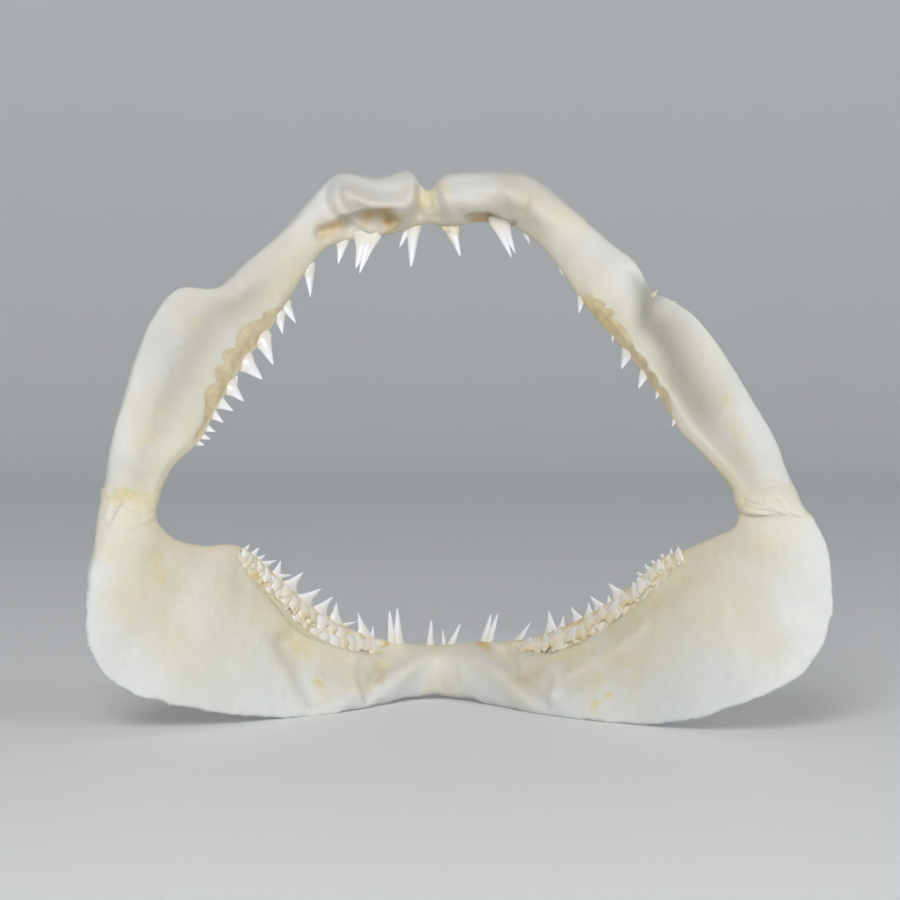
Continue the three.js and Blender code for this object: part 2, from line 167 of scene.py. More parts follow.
def unit(vectors):
    """Vectors scaled to length 1."""
    return vectors / np.maximum(np.linalg.norm(vectors, axis=-1, keepdims=True), 1e-9)


def circle(count):
    """Angles of a full turn in equal steps."""
    return np.linspace(0, 2 * np.pi, count, endpoint=False)


# %% Edges of a half
def rounded(x):
    """Distance from the midline with its corner rounded off: the root of x squared plus r squared, less r."""
    return np.sqrt(x**2 + CHIN_ROUND**2) - CHIN_ROUND


def edges(half):
    """Inner and outer edge points: the lower rim bows out to the chin, the upper rim leans to the snout."""
    kind, side = half
    xi, zi, xo, zo = np.array(ROWS[half]).T
    s = np.linspace(0, 1, len(xi))
    if kind == "upper":
        yi = JOINT_DEPTH + (zi - JOINT_HEIGHT["left"]) * np.tan(UPPER_LEAN)
        fall = keyed(UPPER_SLANT[side], s)
    else:
        half_width = LOWER_HALF_WIDTH[side]
        across = np.minimum(rounded(xi) / rounded(half_width), 1)
        yi = JOINT_DEPTH + (LOWER_REACH - JOINT_DEPTH) * (1 - across ** LOWER_BEND[side])
        fall = 4 * (1 - s) + keyed(LOWER_TILT[side], s) * (zi - zo)
    return np.stack([xi, yi, zi], -1), np.stack([xo, yi - fall, zo], -1)


EDGES = {half: edges(half) for half in HALVES}
SLOPE_STEP = 0.3


def share_along(half, u):
    """Place u, counted in sections, as a share of the way from joint 0 to midline 1."""
    return np.clip(u / LAST[half], 0, 1)


def section(half, u):
    """Inner edge, direction across, direction along and direction to the throat at place u."""
    inner_points, outer_points = EDGES[half]
    inner = spline(inner_points, u)
    outer = spline(outer_points, u)
    if half[0] == "upper":
        notch = keyed(NOTCH[half[1]], share_along(half, u))
        outer = outer - np.array([0, 0, 1]) * notch[..., None]
    across = outer - inner
    middle = inner_points + outer_points
    forward = unit(spline(middle, u + SLOPE_STEP) - spline(middle, u - SLOPE_STEP))
    throat = unit(np.cross(across, forward))
    throat = throat * np.where(throat[..., 1:2] > 0, -1, 1)
    return inner, across, forward, throat


print("rim length of the upper left half in mm:",
      round(float(np.linalg.norm(np.diff(EDGES[UPPER_LEFT][0], axis=0), axis=1).sum()), 1))

# %% [markdown]
# Folds and creases of the inside face
# Cartilage shrinks as it dries, and the inside face gets folds, grooves and overhanging lips.
# They could be sculpted, but a fold is easily told by a line, a height and a width.
# Each line is given in millimetres in x and z. A ridge is a bell curve across its line,
# and a step is a small cliff: one side of the line stands higher than the other, and both fade away from it.

# %% Ridges and grooves: height, width and points (x, z)
RIDGES = {
    UPPER_LEFT: [
        (-3.2, 2.6, [(-46, 195), (-41, 197), (-37, 199)]),
        (1.4, 1.8, [(-34, 201), (-31, 199), (-27, 196)]),
        (-1.8, 2.2, [(-40, 219), (-44, 214), (-45, 209), (-42, 203)]),
        (-1.0, 1.8, [(-38, 217), (-39, 211), (-38, 206), (-35, 203)]),
        (1.5, 2.6, [(-37, 211), (-27, 207), (-15, 206)]),
        (-1.6, 3.0, [(-34, 216), (-25, 212), (-14, 212)]),
        (1.6, 3.0, [(-10, 219), (-10, 210), (-13, 201)]),
        (-2.0, 2.2, [(-6, 213), (-5, 207), (-6, 203)]),
        (-0.35, 0.6, [(-114, 142), (-105, 145), (-97, 148)]),
        (-0.7, 5.0, [(-102, 139), (-103, 129), (-105, 120)]),
    ],
    UPPER_RIGHT: [
        (1.6, 3.2, [(2, 218), (5, 208), (8, 196)]),
        (-1.5, 1.8, [(-1, 212), (-1, 206), (0, 202)]),
        (-1.2, 2.0, [(36, 216), (37, 209), (35, 204)]),
        (-1.3, 3.6, [(10, 215), (16, 210), (23, 208)]),
        (1.2, 3.0, [(26, 217), (31, 211), (33, 205)]),
        (0.9, 1.3, [(60, 167), (63, 162), (66, 157)]),
        (0.7, 1.0, [(64, 165), (66, 161)]),
    ],
    LOWER_LEFT: [
        (0.9, 1.9, [(-33, 20), (-34, 15), (-33, 10), (-30, 4)]),
        (0.8, 1.7, [(-29, -1), (-30, 5), (-26, 9), (-21, 12)]),
        (-2.6, 3.0, [(-28, 5), (-24, 12), (-15, 19)]),
        (1.8, 4.0, [(-23, 0), (-14, 11), (-5, 20)]),
        (-1.5, 5.0, [(-60, 31), (-50, 24), (-41, 18)]),
    ],
    LOWER_RIGHT: [
        (-2.6, 2.8, [(28, 20), (36, 12), (44, 5)]),
        (1.8, 4.0, [(17, 20), (28, 11), (40, 0)]),
        (-0.8, 2.0, [(4, 19), (7, 13), (9, 6)]),
        (1.0, 2.0, [(35, 21), (43, 20), (48, 17), (49, 12), (46, 6)]),
    ],
}

# %% Steps: height on the left and on the right of the line, width, reach and points (x, z)
STEPS = {
    UPPER_LEFT: [
        (0.8, -6.0, 0.9, 8,
         [(-40, 201), (-35, 202), (-32, 203), (-26, 204), (-19, 204), (-17, 202), (-15, 199)]),
    ],
    UPPER_RIGHT: [
        (0.8, -5.5, 0.9, 7, [(11, 201), (16, 203), (22, 203), (27, 201), (30, 200), (34, 200)]),
    ],
    LOWER_LEFT: [
        (0.6, -2.0, 4.0, 14, [(-49, 1), (-53, 9), (-58, 20), (-65, 32)]),
        (-0.6, 0.8, 0.6, 4,
         [(-80, 67), (-74, 56), (-65, 45), (-59, 37), (-51, 31), (-39, 25), (-30, 21), (-21, 20)]),
    ],
    LOWER_RIGHT: [
        (1.3, -0.5, 0.8, 5, [(52, 15), (61, 19), (72, 26), (80, 33), (86, 40)]),
        (-0.5, 0.7, 0.6, 3, [(35, 23), (47, 23), (58, 28), (70, 36), (81, 46), (91, 57), (98, 66)]),
    ],
}


# %% Height of the folds
def from_line(x, z, line):
    """Distance in x and z to a line through points, the side (1 left, -1 right) and a taper at both ends."""
    p = np.stack([x, z], -1)
    line = np.array(line, float)
    nearest = np.full(x.shape, np.inf)
    side = np.ones(x.shape)
    part = np.zeros(x.shape)
    for i, (a, b) in enumerate(zip(line[:-1], line[1:])):
        run = b - a
        t = np.clip(((p - a) @ run) / (run @ run), 0, 1)
        distance = np.linalg.norm(p - a - t[..., None] * run, axis=-1)
        turn = run[0] * (p[..., 1] - a[1]) - run[1] * (p[..., 0] - a[0])
        closer = distance < nearest
        side = np.where(closer, np.where(turn < 0, -1, 1), side)
        part = np.where(closer, (i + t) / (len(line) - 1), part)
        nearest = np.minimum(nearest, distance)
    return nearest, side, np.clip(8 * np.minimum(part, 1 - part), 0, 1)


def folds(half, points):
    """Sum of the ridges and steps of a half: bell curves of the distance, and cliffs that fade with it."""
    x, z = points[..., 0], points[..., 2]
    height = np.zeros(x.shape)
    for rise, width, line in RIDGES[half]:
        height = height + rise * bump(from_line(x, z, line)[0], 0, width)
    for left, right, width, reach, line in STEPS[half]:
        distance, side, taper = from_line(x, z, line)
        t = np.clip(0.5 + 0.5 * side * distance / width, 0, 1)
        cliff = right + (left - right) * eased(t)
        height = height + cliff * taper * bump(distance, 0, reach)
    return height


print("ridges:", sum(map(len, RIDGES.values())), "steps:", sum(map(len, STEPS.values())))

# %% [markdown]
# The large relief
# Apart from the folds, each bar has broad hollows and swellings: the trough of the cheek flange,
# the round blocks beside the upper midline and the chin crest.
# They depend only on the place along the bar and across it: products of eased values and bell curves.

# %% Broad hollows and swellings
TROUGH_DEPTH = {"left": 2.0, "right": 5.5}
TROUGH_WIDTH = {"left": (0.2, 0.2), "right": (0.15, 0.36)}
TROUGH = {"left": [(0, 0.5), (1, 0.5)], "right": [(0.15, 0.3), (0.3, 0.32), (0.42, 0.48), (0.52, 0.85)]}
RIDGE_SHARE = 0.45
BLOCK_HEIGHT = 4.5
CREST_HEIGHT, CREST_HOLLOW = 2.4, 2.0
GROOVE_DEPTH = 2.2


def trough(side, s, q):
    """Cheek trough of an upper half from 0 to 1: a bell curve with a steep side and a gentle side."""
    centre = keyed(TROUGH[side], s)
    steep, gentle = TROUGH_WIDTH[side]
    return bump(q, centre, np.where(q < centre, steep, gentle))


def relief(half, s, q):
    """Height above the plain bar at place s along it and q across it."""
    kind, side = half
    if kind == "upper":
        deep = TROUGH_DEPTH[side]
        depth = keyed([(0, 0), (0.12, 2), (0.3, deep), (0.51, deep), (0.58, 0), (1, 0)], s)
        block = keyed([(0, 0), (0.66, 0), (0.74, 1), (0.9, 1), (1, 0.1)], s)
        return (depth * (RIDGE_SHARE * bump(q, 0.16, 0.09) - trough(side, s, q))
                + block * BLOCK_HEIGHT * bump(q, 0.62, 0.34))
    chin = keyed([(0, 0), (0.62, 0), (0.76, 1), (1, 1)], s)
    crest = keyed([(0, 0.95), (0.7, 0.95), (0.8, 0.85), (0.9, 0.5), (1, 0.25)], s)
    above = keyed([(0, 1), (0.8, 1), (0.94, 0.2)], s)
    spread = np.where(q < crest, 0.24, 0.6)
    groove = keyed([(0, 0), (0.35, 0), (0.45, 1), (0.8, 1), (0.9, 0)], s)
    return (chin * (CREST_HEIGHT * bump(q, crest, spread) - CREST_HOLLOW * above * bump(q, crest - 0.5, 0.2))
            - groove * GROOVE_DEPTH * bump(q, 0.16, 0.1))


# %% Muscle scars of the outer face
SCAR_HEIGHT, SCAR_DEPTH = 0.9, 0.5


def scars(s, q):
    """Height on the side away from the throat: a low ridge along the bar and a shallow groove beside it."""
    lengthways = keyed([(0.04, 0), (0.18, 1), (0.8, 1), (0.95, 0)], s)
    return lengthways * (SCAR_HEIGHT * bump(q, 0.7, 0.1) - SCAR_DEPTH * bump(q, 0.45, 0.14))


# %% Strip of dried gum along the upper rims
GUM_BORDER = {
    "left": [(0.2, 0.05), (0.25, 0.13), (0.3, 0.2), (0.36, 0.235), (0.47, 0.23), (0.51, 0.06)],
    "right": [(0.22, 0.05), (0.32, 0.11), (0.43, 0.2), (0.5, 0.27), (0.535, 0.22), (0.56, 0.06)],
}
GUM_START = {"left": 0.035, "right": 0.005}
GUM_POINTS = 20
GUM_SWING = 0.08
GUM_EASE = 0.02


def gum(half, s, q):
    """Share of gum on the inside face, 1 in the strip: its far border swings by the size of a sine.

    Both borders are eased over a small share of the width, and the strip ends with its border pairs.
    """
    kind, side = half
    if kind == "lower":
        return np.zeros(s.shape)
    swing = np.abs(np.sin(np.pi * GUM_POINTS * s + 0.9 * np.sin(37 * s))) ** 0.8
    border = keyed(GUM_BORDER[side], s) + GUM_SWING * swing - 0.05
    inside = np.clip((border - q) / 0.03 + 0.5, 0, 1) * np.clip((q - GUM_START[side]) / GUM_EASE + 0.5, 0, 1)
    first, last = GUM_BORDER[side][0][0], GUM_BORDER[side][-1][0]
    return inside * np.clip((s - first) / GUM_EASE, 0, 1) * np.clip((last - s) / GUM_EASE, 0, 1)


# %% Small unevenness from a seeded random lattice
LATTICE = 64
LATTICE_SHIFT = 500


def unevenness(points, size, seed):
    """Smooth random field from -1 to 1: lattice values a given size apart, eased between eight corners."""
    lattice = np.random.default_rng(seed).uniform(-1, 1, (LATTICE, LATTICE, LATTICE))
    place = points / size + LATTICE_SHIFT
    cell = np.floor(place).astype(int)
    t = eased(place - cell)
    total = np.zeros(points.shape[:-1])
    for corner in product((0, 1), repeat=3):
        weight = np.prod(np.where(corner, t, 1 - t), axis=-1)
        i, j, k = np.moveaxis((cell + corner) % LATTICE, -1, 0)
        total = total + weight * lattice[i, j, k]
    return total


# %% Surface of a bar
SECTION_POWER = 0.6
GUM_DEPTH = 0.6
ROUGHNESS = [(0.3, 11, 3), (0.15, 4, 5), (0.07, 1.7, 7)]
RAGGED = {"upper": 0.25, "lower": 0.7}


def bar(half, u, angle):
    """Point at place u and angle round the section: across by (1 - cos) / 2, out to the throat by sin.

    The half thickness blends from rim to edge, and relief and folds stand on the throat side only.
    The outer edge wanders in and out a little, as thin cartilage does when it dries.
    """
    kind, _ = half
    u, angle = np.broadcast_arrays(u, angle)
    s = share_along(half, u)
    q = (1 - np.cos(angle)) / 2
    thick = THICK[kind]
    thickness = (keyed(thick["rim"], s) * (1 - q) ** 2 + 2 * keyed(thick["mid"], s) * q * (1 - q)
                 + keyed(thick["edge"], s) * q**2)
    sine = np.sin(angle)
    facing = np.sqrt(np.maximum(sine, 0))
    sunk = GUM_DEPTH * gum(half, s, q)
    out = thickness * np.sign(sine) * np.abs(sine) ** SECTION_POWER + (relief(half, s, q) - sunk) * facing
    out = out - scars(s, q) * np.sqrt(np.maximum(-sine, 0))
    inner, across, _, throat = section(half, u)
    plain = inner + across * q[..., None] + throat * out[..., None]
    rough = sum(height * unevenness(plain, size, seed) for height, size, seed in ROUGHNESS)
    raised = (folds(half, plain) + rough) * facing + rough * (1 - facing) * np.sign(sine)
    ragged = RAGGED[kind] * (unevenness(plain, 7, 8) + 0.5 * unevenness(plain, 2.6, 9)) * q**6
    return plain + throat * raised[..., None] + unit(across) * ragged[..., None]


# %% [markdown]
# From arrays to meshes
# Every piece of the jaw is a tube of rings: a bar, a tooth, a strip of gum.
# One helper turns an array of rings into a closed mesh with a point at each end,
# so there is one place where faces are numbered and where they are turned outwards.

# %% Rings to a closed mesh
def tube_faces(rows, around):
    """Quads between neighbouring rings, and triangles from each end ring to its end point."""
    i, j = np.meshgrid(np.arange(rows - 1), np.arange(around), indexing="ij")
    k = (j + 1) % around
    quads = np.stack([i * around + j, i * around + k, (i + 1) * around + k, (i + 1) * around + j], -1)
    j = np.arange(around)
    k = (j + 1) % around
    first = np.stack([np.full(around, rows * around), k, j], -1)
    end = (rows - 1) * around
    last = np.stack([np.full(around, rows * around + 1), end + j, end + k], -1)
    return quads.reshape(-1, 4), np.vstack([first, last])


def volume(points, triangles):
    """Signed volume: the sum of triple products of the corners of every triangle."""
    a, b, c = (points[triangles[:, k]] for k in range(3))
    return np.einsum("ij,ij->", a, np.cross(b, c)) / 6


def placed(name, data):
    """New object at the origin, linked to the scene."""
    piece = bpy.data.objects.new(name, data)
    bpy.context.scene.collection.objects.link(piece)
    return piece


def tubes_mesh(name, rings, tips=None, values=None):
    """One object from rings in mm, shape (tubes, rows, around, 3).

    values are named point attributes, spread over the rings where they have fewer numbers.
    """
    tubes, rows, around, _ = rings.shape
    ends = np.stack([rings[:, 0].mean(1), rings[:, -1].mean(1) if tips is None else tips], 1)
    points = np.concatenate([rings.reshape(tubes, -1, 3), ends], 1)
    quads, triangles = tube_faces(rows, around)
    split = np.vstack([quads[:, [0, 1, 2]], quads[:, [0, 2, 3]], triangles])
    if sum(volume(one, split) for one in points) < 0:
        quads, triangles = quads[:, ::-1], triangles[:, ::-1]
    step = points.shape[1]
    shift = (np.arange(tubes) * step)[:, None, None]
    faces = (quads + shift).reshape(-1, 4).tolist() + (triangles + shift).reshape(-1, 3).tolist()
    mesh = bpy.data.meshes.new(name)
    mesh.from_pydata(((points.reshape(-1, 3) - ORIGIN) / 1000).tolist(), [], faces)
    mesh.shade_smooth()
    for label, value in (values or {}).items():
        grid = np.broadcast_to(value, rings.shape[:3])
        flat = np.concatenate([grid.reshape(tubes, -1), grid[:, :1].mean(2), grid[:, -1:].mean(2)], 1)
        attribute = mesh.attributes.new(label, "FLOAT", "POINT")
        attribute.data.foreach_set("value", flat.ravel().astype(np.float32))
    piece = placed(name, mesh)
    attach(piece, "root")
    print(name, "tubes", tubes, "faces", len(faces))
    return piece


# %% [markdown]
# Colour that follows the shape
# Old cartilage is ivory, amber where oil has seeped out, brown in hollows, and chalky or grey where thin.
# Some amber spots, a grey-olive band in the cheek trough and the grey of the upper bars are painted shade.
# A material can't know where a hollow is, so the script works out a few values at every point
# and keeps them on the mesh as attributes, which the material reads.

# %% Stain and hollow spots, a few of the stains painted shade: x, z, radius in mm and strength
STAINS_AND_SHADE = [
    (-93, 157, 2.3, 0.5), (-111, 112, 4.7, 0.45), (-106, 124, 3.9, 0.35), (-120, 92, 3.9, 0.8),
    (-114, 90, 3.1, 0.6), (113, 127, 4.7, 0.5), (117, 116, 4.7, 0.5), (119, 106, 3.9, 0.45),
    (119, 89, 3.1, 0.5), (125, 72, 7.8, 0.35), (-109, 67, 4.7, 0.6), (-106, 60, 3.9, 0.6),
    (-125, 71, 5.9, 0.4), (-54, 27, 7.0, 0.5), (-46, 11, 3.1, 0.8), (-43, 21, 5.9, 0.45),
    (-23, 17, 3.1, 0.5), (64, 7, 2.7, 0.9), (69, 11, 2.3, 0.9), (62, 15, 8.6, 0.45), (21, 23, 2.3, 1.0),
    (-4, 208, 3.5, 0.75), (4, 212, 3.1, 0.55), (40, 208, 4.7, 0.4), (53, 200, 7.8, 0.35), (51, 26, 7.8, 0.4),
    # The spots from (95, 57) down to (60, 26) are painted shade along the lower border of the right band of
    # replacement teeth.
    (81, 42, 5.5, 0.4), (62, 165, 3.1, 0.9), (68, 157, 3.1, 0.8), (95, 57, 4.5, 0.45), (88, 48, 4.5, 0.45),
    (72, 33, 4.5, 0.4), (60, 26, 4.5, 0.45), (-66, 41, 6.0, 0.3), (-60, 34, 6.0, 0.4),
    (40, 12, 7.0, 0.4), (74, 22, 9.0, 0.35), (30, 14, 6.0, 0.35), (-32, 10, 6.0, 0.35),
    (-118, 52, 9.0, 0.25), (-90, 105, 4.0, 0.35), (111, 98, 4.5, 0.45),
]
HOLLOWS = [
    (-21, 200.5, 4.2, 1.0), (-26, 201.5, 3.4, 1.0), (-17, 199, 3.0, 0.8), (-41, 197, 4.0, 0.9),
    (-45, 195, 3.0, 0.7), (22, 200, 4.0, 1.0), (17, 200, 3.4, 0.9), (28, 198, 3.0, 0.8),
    (-23, 13, 3.0, 0.45), (21, 24, 1.9, 0.7), (35, 13, 3.0, 0.4),
]


def spots(points, places):
    """Strongest of a set of bell-shaped spots in x and z."""
    x, z = points[..., 0], points[..., 2]
    return np.max([k * np.exp(-((x - a) ** 2 + (z - b) ** 2) / r**2) for a, b, r, k in places], axis=0)


def tones(points, q, facing, chalky):
    """Values for the cartilage finish: stains with some painted shade, hollow, nearness to the rim, warm
    cream and chalky edge.
    """
    wobble = points + 2.5 * np.stack([unevenness(points, 6, seed) for seed in (21, 22, 23)], -1)
    warm = 0.55 * bump(q, 0, 0.5) + 0.35 * unevenness(points, 16, 24)
    return {
        "stain_and_shade": spots(wobble, STAINS_AND_SHADE),
        "hollow": spots(wobble, HOLLOWS) * facing,
        "rim": np.exp(-q / 0.12),
        "warm": np.clip(warm, 0, 1),
        "chalk": q**2 * chalky,
    }


# %% [markdown]
# The four bars
# Each bar is a tube of 400 rings. A line along the bar starts on the flat of the joint
# and stops on the flat of the midline, so the ends are cut clean without a boolean.
# The place where a line crosses such a plane is found on a fine row of samples, for all lines at once.

# %% Where lines along a bar start and stop
SAMPLES = 160


def crossing(u, inside):
    """Place on each line where the value inside turns from negative to positive for the last time."""
    row = np.arange(len(u))[:, None]
    before = np.where(inside < 0, row, -1).max(0)
    i = np.clip(before, 0, len(u) - 2)
    a = np.take_along_axis(inside, i[None], 0)[0]
    b = np.take_along_axis(inside, i[None] + 1, 0)[0]
    t = np.where(before < 0, 0, a / np.where(np.abs(a - b) < 1e-9, 1, a - b))
    return u[i] + t * (u[i + 1] - u[i])


def line_ends(half, angle):
    """Start on the joint plane and end on the midline plane of every line along a bar."""
    kind, side = half
    last = LAST[half]
    u = np.linspace(-0.8, 2, SAMPLES)
    height = bar(half, u[:, None], angle)[..., 2]
    joint = JOINT_HEIGHT[side]
    above = height - joint - GAP / 2 if kind == "upper" else joint - GAP / 2 - height
    start = crossing(u, above)
    u = np.linspace(last + 0.5, last - 2, SAMPLES)
    aside = bar(half, u[:, None], angle)[..., 0]
    middle = MIDLINE[kind]
    inside = middle - GAP / 2 - aside if side == "left" else aside - middle - GAP / 2
    return start, crossing(u, inside)


# %% Grid of points of each bar
AROUND = 200
AROUND_ANGLE = circle(AROUND)
AROUND_SHARE = (1 - np.cos(AROUND_ANGLE)) / 2
THROAT_SIDE = np.sin(AROUND_ANGLE) > 0
ROW_COUNT = 400


def bar_grid(half):
    """Rings of points from the joint plane to the midline plane, and their places along the bar."""
    start, end = line_ends(half, AROUND_ANGLE)
    u = start + (end - start) * np.linspace(0, 1, ROW_COUNT)[:, None]
    return bar(half, u, AROUND_ANGLE), share_along(half, u)


surfaces, places = {}, {}
for half in HALVES:
    surfaces[half], places[half] = bar_grid(half)
MEETINGS = {
    "joint_left": (UPPER_LEFT, LOWER_LEFT),
    "joint_right": (UPPER_RIGHT, LOWER_RIGHT),
    "upper_midline": (UPPER_LEFT, UPPER_RIGHT),
    "lower_midline": (LOWER_LEFT, LOWER_RIGHT),
}
print("rings:", {"_".join(half): grid.shape[:2] for half, grid in surfaces.items()})

# %% [markdown]
# Bars that meet
# On the dried jaw the halves run into one another with no ledge, although each was worked out alone.
# So both end rings move to the ring halfway between them, and the move fades out over a few millimetres.
# The coordinate that is square to the cut stays as it is, which keeps the thin gap.

# %% Fit the ends of the bars to each other
WELD_LENGTH = {"joint_left": 16, "joint_right": 20, "upper_midline": 9, "lower_midline": 14}


def weld(name):
    """Move the end rings of two bars to their mean; the move fades with the way along each line, eased."""
    first, second = MEETINGS[name]
    at_joint = first[0] != second[0]
    end = 0 if at_joint else -1
    middle = (surfaces[first][end] + surfaces[second][end]) / 2
    for half in (first, second):
        grid = surfaces[half]
        shift = middle - grid[end]
        shift[:, 2 if at_joint else 0] = 0
        gaps = np.linalg.norm(np.diff(grid, axis=0), axis=-1)
        way = np.vstack([np.zeros((1, AROUND)), np.cumsum(gaps, 0)])
        way = way if at_joint else way[-1] - way
        t = np.clip(1 - way / WELD_LENGTH[name], 0, 1)
        surfaces[half] = grid + eased(t)[..., None] * shift
    print(name, "ends moved by up to mm:", round(float(np.abs(shift).max()), 2))


for name in MEETINGS:
    weld(name)

# %% Build the bars
CHALKY = {"upper": 0.6, "lower": 1}
TROUGH_PAINTED_SHADE = {"left": 0.45, "right": 0.9}
GREY_PAINTED_SHADE = {
    "left": [(0, 0.2), (0.15, 0.2), (0.4, 0.4), (0.55, 0.2), (0.68, 0.2), (0.8, 0.4), (0.92, 0.3), (0.98, 0)],
    "right": [(0, 0.1), (0.5, 0.15), (0.66, 0.15), (0.8, 0.4), (0.92, 0.3), (0.98, 0)],
}


def build_bar(half):
    """Fine tube of a jaw half; it replaces the solid of the same half."""
    points = surfaces[half]
    points[..., 2] = np.maximum(points[..., 2], 0)
    kind, side = half
    s = places[half]
    values = tones(points, AROUND_SHARE, THROAT_SIDE, CHALKY[kind])
    values["gum"] = gum(half, s, AROUND_SHARE) * THROAT_SIDE
    if kind == "upper":
        # Painted shade: a grey-olive band along the steep side of the cheek trough, where the shadow falls.
        lengthways = keyed([(0, 0), (0.15, 0.5), (0.3, 1), (0.5, 1), (0.58, 0)], s)
        across = trough(side, s, AROUND_SHARE) ** 2 * THROAT_SIDE
        values["trough"] = TROUGH_PAINTED_SHADE[side] * lengthways * across
        # Painted shade: greys the inside face of the upper bars, most on the blocks beside the midline.
        values["grey"] = keyed(GREY_PAINTED_SHADE[side], s) * THROAT_SIDE
    piece = tubes_mesh("cartilage_" + "_".join(half), points[None], values=values)
    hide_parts(f"{kind}_jaw_{side}")
    return piece


bars = {half: build_bar(half) for half in HALVES}

# %% [markdown]
# The teeth
# Mako teeth are slender hooks with smooth edges: a broad root, then a crown that narrows to a needle.
# One formula draws them all: rings shrink along a gently curved axis.
# A table gives each tooth its place, crown length and lean, so the row keeps the gaps of a real jaw.

# %% Teeth along each rim: place from joint to midline, crown length, lean in degrees
TEETH = {
    UPPER_LEFT: [
        (0.21, 2.4, -3), (0.225, 2.8, -3), (0.241, 3.2, -4), (0.266, 4.4, 10), (0.289, 5.6, 1),
        (0.32, 7.6, 13), (0.337, 3, 46), (0.372, 9.2, 11), (0.428, 10.5, 33), (0.486, 7.2, 56),
        (0.509, 7.9, 40), (0.593, 11.7, 68), (0.719, 9, 30), (0.78, 13, 35), (0.799, 15.8, 36),
        (0.912, 7.7, 28), (0.934, 16.4, 6),
    ],
    UPPER_RIGHT: [
        (0.232, 1.6, -42), (0.299, 1.6, -37), (0.35, 5.3, -24), (0.397, 6, -26), (0.436, 1.6, -35),
        (0.551, 5.4, -54), (0.627, 1.6, -76), (0.751, 3.8, -37), (0.81, 13.1, -35), (0.823, 15.5, -34),
        (0.92, 13, -13),
    ],
    LOWER_LEFT: [
        (0.42, 2.2, 14), (0.442, 3.6, 21), (0.459, 3.1, 37), (0.477, 5, 53), (0.511, 5.7, 7), (0.52, 5.2, 67),
        (0.551, 8.1, 34), (0.598, 8.4, 49), (0.642, 8.2, 39), (0.686, 7.2, 3), (0.716, 5.4, 67),
        (0.769, 9.4, -20), (0.795, 4.6, -2), (0.855, 13.5, -12), (0.874, 14.8, -9), (0.974, 10.9, 1),
    ],
    LOWER_RIGHT: [
        (0.403, 1.6, 46), (0.423, 1.6, 26), (0.448, 1.6, 1), (0.474, 1.6, -20), (0.493, 2.1, -6),
        (0.514, 2, -23), (0.575, 5.9, -24), (0.6, 2.2, 12), (0.624, 6.2, -23), (0.652, 4.5, 13),
        (0.68, 6.2, -15), (0.72, 4.6, 23), (0.744, 8.5, 6), (0.824, 9.9, 49), (0.887, 12.9, 29),
        (0.896, 12.4, 24), (0.968, 9.7, 27), (0.984, 6.5, -2),
    ],
}
TOOTH_BREADTH = {
    "upper": [(0.3, 0.8), (0.45, 0.7), (0.6, 0.5), (0.75, 0.5), (0.85, 0.3), (1, 0.27)],
    "lower": [(0.3, 0.85), (0.6, 0.8), (0.75, 0.6), (0.85, 0.3), (1, 0.27)],
}
BASE_FLARE = {
    "upper": [(0.2, 0.7), (0.6, 0.5), (0.79, 0.7), (0.86, 0.35), (1, 0.3)],
    "lower": [(0.2, 1.2), (0.7, 1.3), (0.79, 0.8), (0.86, 0.35), (1, 0.3)],
}
FRONT = 0.84
CROWN_POWER, FRONT_POWER = 0.85, 0.6
TOOTH_SHIFT = {"upper": [(0.2, 1.5), (1, 1.5)], "lower": [(0.4, 1.6), (0.6, 2.4), (0.78, 2.4), (0.88, 1.2)]}
ROOT_DEPTH = 5.0
BASE_DEPTH = 2.5
TOOTH_SINK = 0.5
ADDED_LENGTH = 0.9
THICKNESS_SHARE, FRONT_THICKNESS_SHARE = 0.45, 0.7
LEAST_WIDTH, LEAST_THICKNESS = 1, 1.6
BOW = 0.06
TOOTH_ROWS, TOOTH_AROUND = 18, 16
BASE_ROWS, BASE_AROUND = 12, 20


# %% Rings of many teeth at once
def crown_size(t, power):
    """Share of the full width at height t of a crown: 0.9 (1 - t)^power + 0.1 (1 - t)^4."""
    return 0.9 * (1 - t) ** power + 0.1 * (1 - t) ** 4


def tooth_rings(base, direction, widthways, length, width, thickness, curve, root_depth, notch,
                power=CROWN_POWER):
    """Rings of teeth: the axis runs from base along direction and bows by t squared towards the throat.

    Below the base the root narrows, and its middle lifts by the notch, which leaves two lobes.
    Every size is one number for all teeth or one per tooth.
    """
    sizes = (length, width, thickness, curve, root_depth, notch, power)
    columns = [np.broadcast_to(size, len(base))[:, None] for size in sizes]
    length, width, thickness, curve, root_depth, notch, power = columns
    part = np.linspace(0, 1, TOOTH_ROWS, endpoint=False)[None, :]
    below = root_depth / length
    t = -below + (1 + below) * part**0.9
    crown = np.clip(t, 0, 1)
    root = np.clip(-t / below, 0, 1)
    size = crown_size(crown, power) * (1 - 0.25 * root**2)
    angle = circle(TOOTH_AROUND)
    side = np.cos(angle)
    face = np.sin(angle) * (1 - 0.45 * side**2)
    thickways = unit(np.cross(direction, widthways))
    back = np.array([0.0, -1.0, 0.0])

    def axis(at):
        return (base[:, None] + direction[:, None] * (at * length)[..., None]
                + back * (curve * at * np.maximum(at, 0))[..., None])

    wide = 0.5 * (width * size)[..., None] * side
    deep = 0.5 * (thickness * size)[..., None] * face
    lift = (notch * root)[..., None] * (1 - side**2)
    rings = (axis(t)[:, :, None] + widthways[:, None, None] * wide[..., None]
             + thickways[:, None, None] * deep[..., None] + direction[:, None, None] * lift[..., None])
    return rings, axis(np.ones_like(below))[:, 0], t[..., None]


# %% Functional teeth on the rims
chance = np.random.default_rng(41)


def turned(vectors, degrees):
    """Vectors turned about +Y by an angle in degrees."""
    a = np.radians(degrees)
    x, y, z = vectors.T
    return np.stack([x * np.cos(a) + z * np.sin(a), y, z * np.cos(a) - x * np.sin(a)], -1)


def square_to(direction, vectors):
    """Vectors with their share along direction taken out."""
    return unit(vectors - direction * np.sum(vectors * direction, -1, keepdims=True))


